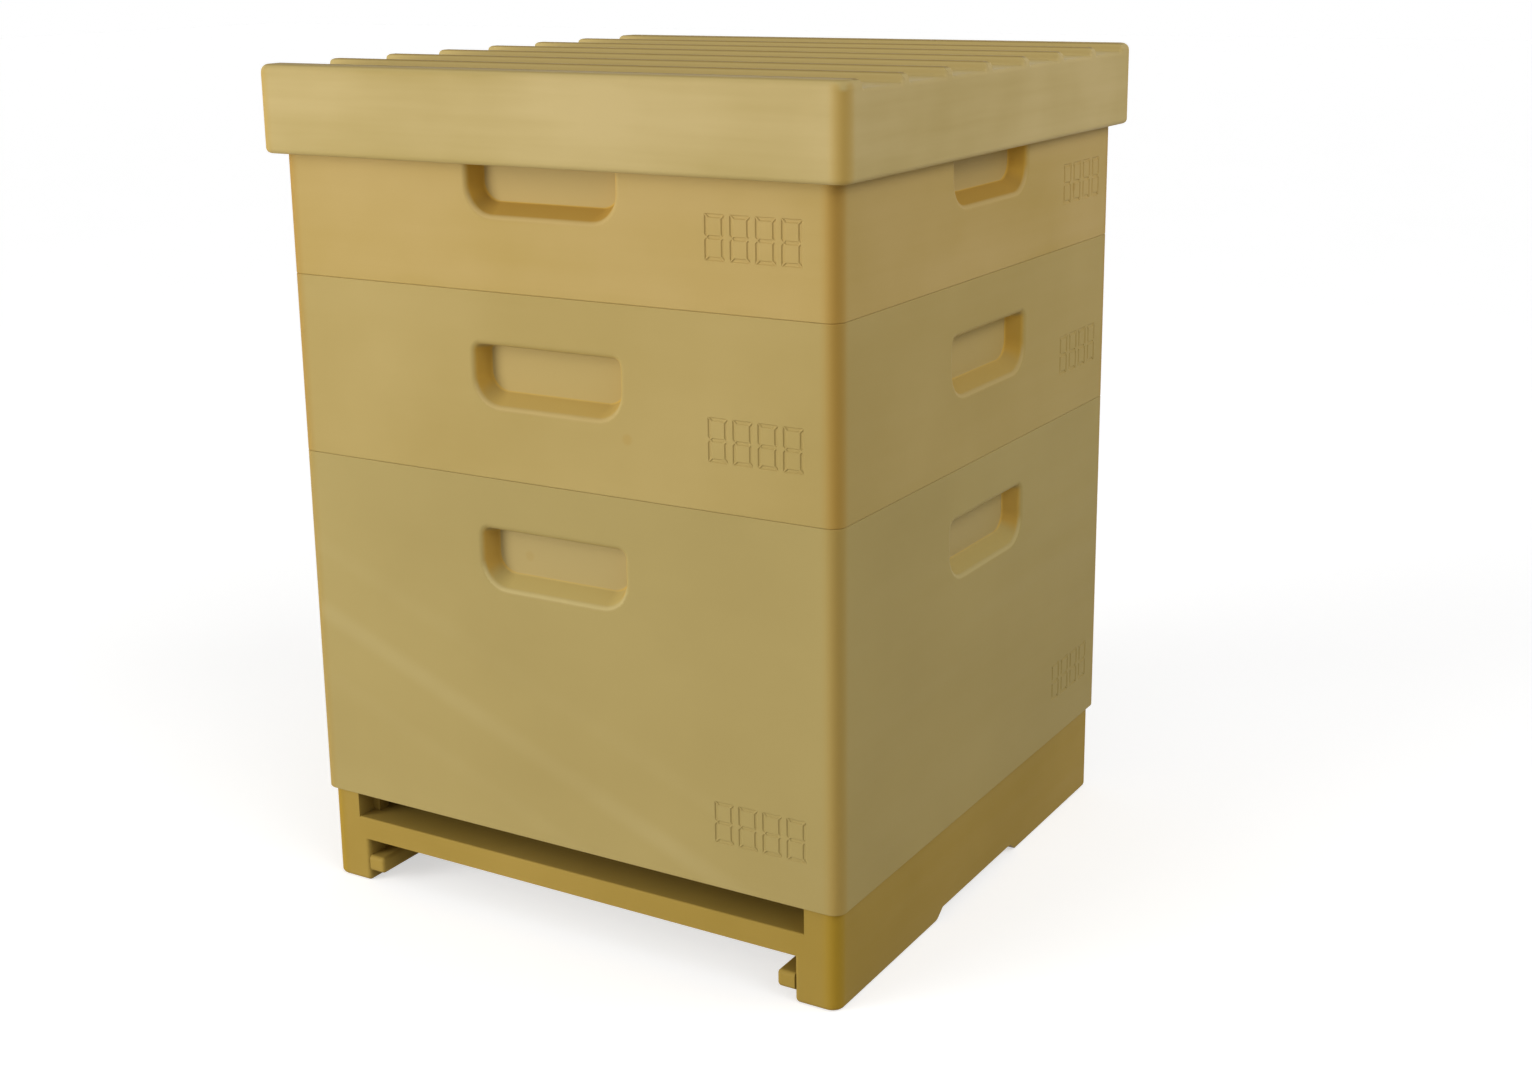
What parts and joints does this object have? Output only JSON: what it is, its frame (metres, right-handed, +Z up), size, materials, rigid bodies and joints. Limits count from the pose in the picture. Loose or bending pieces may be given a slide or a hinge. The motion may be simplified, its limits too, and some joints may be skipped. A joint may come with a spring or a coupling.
{
  "type": "beehive",
  "caption": "Square stackable foam beehive with a footed floor, brood box, shallow supers and ribbed lid, holding hanging wooden frames, wax sheets and a queen excluder.",
  "frame": {"origin": "centre of the footprint, on the ground under the feet", "axes": "+Z up, -Y out of the entrance, +X to the right seen from behind the entrance looking along +Y"},
  "size_m": [0.546, 0.546, 0.716],
  "materials": {
    "floor_foam": "matte",
    "brood_foam": "matte",
    "super_1_foam": "matte",
    "super_2_foam": "matte",
    "lid_foam": "matte",
    "mesh_steel": "satin",
    "screw_steel": "satin",
    "strip_aluminium": "satin",
    "excluder_steel": "satin",
    "rest_steel": "satin",
    "frame_wood": "matte",
    "wax": "satin"
  },
  "bodies": {
    "floor": {"floor_body": "floor_foam", "floor_mesh": "mesh_steel", "mesh_strip_front": "strip_aluminium", "mesh_strip_back": "strip_aluminium", "mesh_strip_left": "strip_aluminium", "mesh_strip_right": "strip_aluminium", "strip_screws": "screw_steel"},
    "brood_box": {"brood_box": "brood_foam", "brood_rest_front": "rest_steel", "brood_rest_back": "rest_steel"},
    "brood_frames": {"brood_frame_01": "frame_wood", "brood_frame_02": "frame_wood", "brood_frame_03": "frame_wood", "brood_frame_04": "frame_wood", "brood_frame_05": "frame_wood", "brood_frame_06": "frame_wood", "brood_frame_07": "frame_wood", "brood_frame_08": "frame_wood", "brood_frame_09": "frame_wood", "brood_frame_10": "frame_wood", "brood_frame_11": "frame_wood", "brood_frame_12": "frame_wood", "brood_foundations": "wax"},
    "excluder": {"excluder_rim": "excluder_steel", "excluder_grid": "excluder_steel"},
    "super_1_box": {"super_1_box": "super_1_foam", "super_1_rest_front": "rest_steel", "super_1_rest_back": "rest_steel"},
    "super_1_frames": {"super_1_frame_01": "frame_wood", "super_1_frame_02": "frame_wood", "super_1_frame_03": "frame_wood", "super_1_frame_04": "frame_wood", "super_1_frame_05": "frame_wood", "super_1_frame_06": "frame_wood", "super_1_frame_07": "frame_wood", "super_1_frame_08": "frame_wood", "super_1_frame_09": "frame_wood", "super_1_frame_10": "frame_wood", "super_1_frame_11": "frame_wood", "super_1_frame_12": "frame_wood", "super_1_foundations": "wax"},
    "super_2_box": {"super_2_box": "super_2_foam", "super_2_rest_front": "rest_steel", "super_2_rest_back": "rest_steel"},
    "super_2_frames": {"super_2_frame_01": "frame_wood", "super_2_frame_02": "frame_wood", "super_2_frame_03": "frame_wood", "super_2_frame_04": "frame_wood", "super_2_frame_05": "frame_wood", "super_2_frame_06": "frame_wood", "super_2_frame_07": "frame_wood", "super_2_frame_08": "frame_wood", "super_2_frame_09": "frame_wood", "super_2_frame_10": "frame_wood", "super_2_frame_11": "frame_wood", "super_2_frame_12": "frame_wood", "super_2_foundations": "wax"},
    "lid": {"lid": "lid_foam"}
  },
  "joints": [
    {"name": "brood_box_lift", "type": "slide", "parent": "floor", "child": "brood_box", "axis": [0, 0, 1], "range_m": [0, 0.2]},
    {"name": "brood_frames_lift", "type": "slide", "parent": "brood_box", "child": "brood_frames", "axis": [0, 0, 1], "range_m": [0, 0.32]},
    {"name": "excluder_lift", "type": "slide", "parent": "brood_frames", "child": "excluder", "axis": [0, 0, 1], "range_m": [0, 0.15]},
    {"name": "super_1_lift", "type": "slide", "parent": "excluder", "child": "super_1_box", "axis": [0, 0, 1], "range_m": [0, 0.2]},
    {"name": "super_1_frames_lift", "type": "slide", "parent": "super_1_box", "child": "super_1_frames", "axis": [0, 0, 1], "range_m": [0, 0.18]},
    {"name": "super_2_lift", "type": "slide", "parent": "super_1_frames", "child": "super_2_box", "axis": [0, 0, 1], "range_m": [0, 0.2]},
    {"name": "super_2_frames_lift", "type": "slide", "parent": "super_2_box", "child": "super_2_frames", "axis": [0, 0, 1], "range_m": [0, 0.18]},
    {"name": "lid_lift", "type": "slide", "parent": "super_2_frames", "child": "lid", "axis": [0, 0, 1], "range_m": [0, 0.2]}
  ]
}
